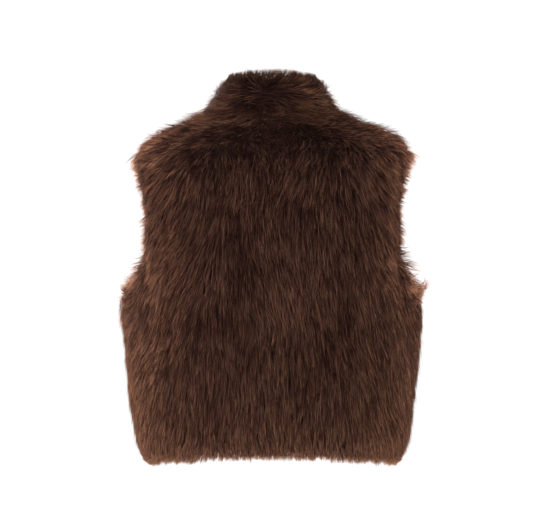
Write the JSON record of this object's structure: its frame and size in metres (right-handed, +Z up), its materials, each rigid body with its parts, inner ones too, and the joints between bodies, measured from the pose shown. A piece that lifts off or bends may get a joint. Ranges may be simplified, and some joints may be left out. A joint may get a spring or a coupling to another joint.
{
  "type": "fur vest",
  "caption": "Short sleeveless vest of long-pile fur with a stand collar, closed edge to edge at the centre front with hidden hooks and bars; kept in the hollow form it has when worn.",
  "frame": {"origin": "midway between the two points where the shoulders of the vest rest beside the neck, at the height of the shoulder seam's inner end", "axes": "+Z up towards the collar, +Y towards the back of the vest, +X towards the wearer's left"},
  "size_m": [0.4528, 0.2977, 0.5797],
  "materials": {
    "fur_back": "long dark brown fur with golden-brown tips",
    "fur_front": "long dark brown fur with golden-brown tips",
    "fur_collar": "long dark brown fur, messier and darker at the nape",
    "fastening_metal": "dark burnished metal"
  },
  "bodies": {
    "root": {"back": "fur_back", "front_left": "fur_front", "front_right": "fur_front", "collar": "fur_collar", "hook_1": "fastening_metal", "hook_2": "fastening_metal", "hook_3": "fastening_metal", "hook_4": "fastening_metal", "bar_1": "fastening_metal", "bar_2": "fastening_metal", "bar_3": "fastening_metal", "bar_4": "fastening_metal"}
  },
  "joints": []
}
